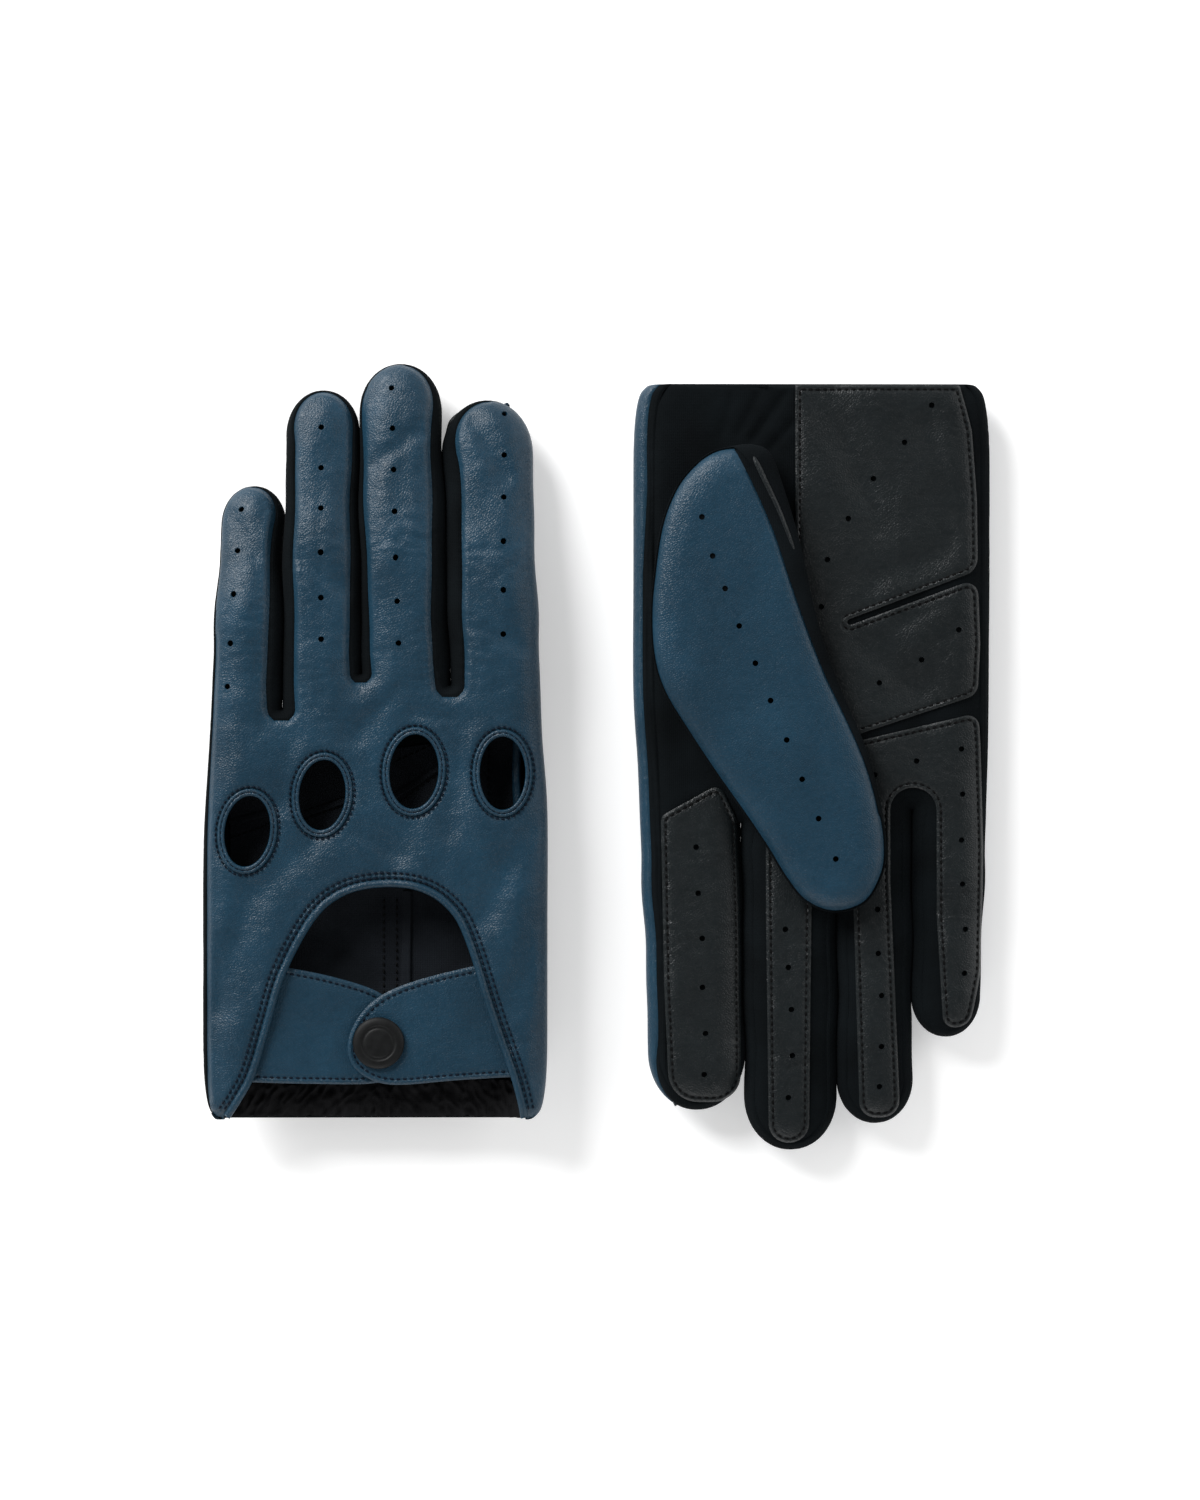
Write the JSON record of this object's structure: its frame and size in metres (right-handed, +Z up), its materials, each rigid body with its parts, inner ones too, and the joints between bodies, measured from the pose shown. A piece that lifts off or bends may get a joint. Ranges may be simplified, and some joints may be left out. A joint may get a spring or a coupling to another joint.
{
  "type": "pair of leather driving gloves",
  "caption": "Pair of unlined leather driving gloves with knuckle holes, open back, snap strap, stretch fabric sides and a stitched palm patch, laid flat.",
  "frame": {"origin": "under the middle of the pair's box, on the surface that the gloves lie on", "axes": "+Z up; the left glove is at low X, back up, with its fingers towards +Y; the right glove is at high X, palm up, with its fingers towards -Y"},
  "size_m": [0.2358, 0.2372, 0.0236],
  "materials": {
    "blue_leather": "dyed sheepskin with a fine grain, satin",
    "black_leather": "grained sheepskin, satin",
    "stretch_fabric": "matt stretch jersey",
    "wrist_elastic": "gathered elastic",
    "snap_cap": "matt black enamel",
    "snap_metal": "blackened steel"
  },
  "bodies": {
    "left_hand": {"left_back_panel": "blue_leather", "left_knuckle_binding_index": "blue_leather", "left_knuckle_binding_middle": "blue_leather", "left_knuckle_binding_ring": "blue_leather", "left_knuckle_binding_pinky": "blue_leather", "left_keyhole_binding": "blue_leather", "left_palm_panel": "stretch_fabric", "left_palm_patch": "black_leather", "left_index_side_gusset": "stretch_fabric", "left_fourchette_index_middle": "stretch_fabric", "left_fourchette_middle_ring": "stretch_fabric", "left_fourchette_ring_pinky": "stretch_fabric", "left_pinky_side_gusset": "stretch_fabric", "left_wrist_elastic": "wrist_elastic", "left_strap_under_tab": "blue_leather", "left_snap_stud": "snap_metal"},
    "left_strap": {"left_strap_upper_tab": "blue_leather", "left_snap_cap": "snap_cap", "left_snap_socket": "snap_metal"},
    "left_thumb": {"left_thumb_inner": "stretch_fabric", "left_thumb_side_gusset": "stretch_fabric", "left_thumb_outer": "blue_leather"},
    "left_index_tip": {"left_index_tip_sleeve": "stretch_fabric", "left_index_tip_back": "blue_leather"},
    "left_middle_tip": {"left_middle_tip_sleeve": "stretch_fabric", "left_middle_tip_back": "blue_leather"},
    "left_ring_tip": {"left_ring_tip_sleeve": "stretch_fabric", "left_ring_tip_back": "blue_leather"},
    "left_pinky_tip": {"left_pinky_tip_sleeve": "stretch_fabric", "left_pinky_tip_back": "blue_leather"},
    "right_hand": {"right_back_panel": "blue_leather", "right_knuckle_binding_index": "blue_leather", "right_knuckle_binding_middle": "blue_leather", "right_knuckle_binding_ring": "blue_leather", "right_knuckle_binding_pinky": "blue_leather", "right_keyhole_binding": "blue_leather", "right_palm_panel": "stretch_fabric", "right_palm_patch": "black_leather", "right_index_side_gusset": "stretch_fabric", "right_fourchette_index_middle": "stretch_fabric", "right_fourchette_middle_ring": "stretch_fabric", "right_fourchette_ring_pinky": "stretch_fabric", "right_pinky_side_gusset": "stretch_fabric", "right_wrist_elastic": "wrist_elastic", "right_strap_under_tab": "blue_leather", "right_snap_stud": "snap_metal"},
    "right_strap": {"right_strap_upper_tab": "blue_leather", "right_snap_cap": "snap_cap", "right_snap_socket": "snap_metal"},
    "right_thumb": {"right_thumb_inner": "stretch_fabric", "right_thumb_side_gusset": "stretch_fabric", "right_thumb_outer": "blue_leather"},
    "right_index_tip": {"right_index_tip_sleeve": "stretch_fabric", "right_index_tip_back": "blue_leather"},
    "right_middle_tip": {"right_middle_tip_sleeve": "stretch_fabric", "right_middle_tip_back": "blue_leather"},
    "right_ring_tip": {"right_ring_tip_sleeve": "stretch_fabric", "right_ring_tip_back": "blue_leather"},
    "right_pinky_tip": {"right_pinky_tip_sleeve": "stretch_fabric", "right_pinky_tip_back": "blue_leather"}
  },
  "joints": [
    {"name": "right_glove_lift", "type": "slide", "parent": "left_hand", "child": "right_hand", "axis": [0, 0, 1], "range_m": [0, 0.12]},
    {"name": "left_strap_open", "type": "hinge", "parent": "left_hand", "child": "left_strap", "pos_m": [-0.03195, -0.07915, 0.0229], "axis": [-0.3404, 0.9403, 0], "range_deg": [0, 140]},
    {"name": "left_thumb_swing", "type": "hinge", "parent": "left_hand", "child": "left_thumb", "pos_m": [-0.01445, -0.04685, 0.008], "axis": [0, -1, 0], "range_deg": [0, 120]},
    {"name": "left_index_curl", "type": "hinge", "parent": "left_hand", "child": "left_index_tip", "pos_m": [-0.03134, 0.05715, 0.0082], "axis": [-1, 0, 0], "range_deg": [-8, 80]},
    {"name": "left_middle_curl", "type": "hinge", "parent": "left_hand", "child": "left_middle_tip", "pos_m": [-0.05865, 0.06315, 0.0082], "axis": [-1, 0, 0], "range_deg": [-8, 81]},
    {"name": "left_ring_curl", "type": "hinge", "parent": "left_hand", "child": "left_ring_tip", "pos_m": [-0.08226, 0.05915, 0.0082], "axis": [-1, 0, 0], "range_deg": [-8, 81]},
    {"name": "left_pinky_curl", "type": "hinge", "parent": "left_hand", "child": "left_pinky_tip", "pos_m": [-0.10444, 0.04215, 0.0082], "axis": [-1, 0, 0], "range_deg": [-8, 78]},
    {"name": "right_strap_open", "type": "hinge", "parent": "right_hand", "child": "right_strap", "pos_m": [0.02985, 0.08165, 0.0007], "axis": [-0.3404, 0.9403, 0], "range_deg": [0, 140]},
    {"name": "right_thumb_swing", "type": "hinge", "parent": "right_hand", "child": "right_thumb", "pos_m": [0.01025, 0.04935, 0.0156], "axis": [0, -1, 0], "range_deg": [0, 120]},
    {"name": "right_index_curl", "type": "hinge", "parent": "right_hand", "child": "right_index_tip", "pos_m": [0.02832, -0.05565, 0.0154], "axis": [-1, 0, 0], "range_deg": [-8, 90]},
    {"name": "right_middle_curl", "type": "hinge", "parent": "right_hand", "child": "right_middle_tip", "pos_m": [0.05806, -0.06265, 0.0154], "axis": [-1, 0, 0], "range_deg": [-8, 90]},
    {"name": "right_ring_curl", "type": "hinge", "parent": "right_hand", "child": "right_ring_tip", "pos_m": [0.08315, -0.05865, 0.0154], "axis": [-1, 0, 0], "range_deg": [-8, 90]},
    {"name": "right_pinky_curl", "type": "hinge", "parent": "right_hand", "child": "right_pinky_tip", "pos_m": [0.10566, -0.04265, 0.0154], "axis": [-1, 0, 0], "range_deg": [-8, 90]}
  ]
}
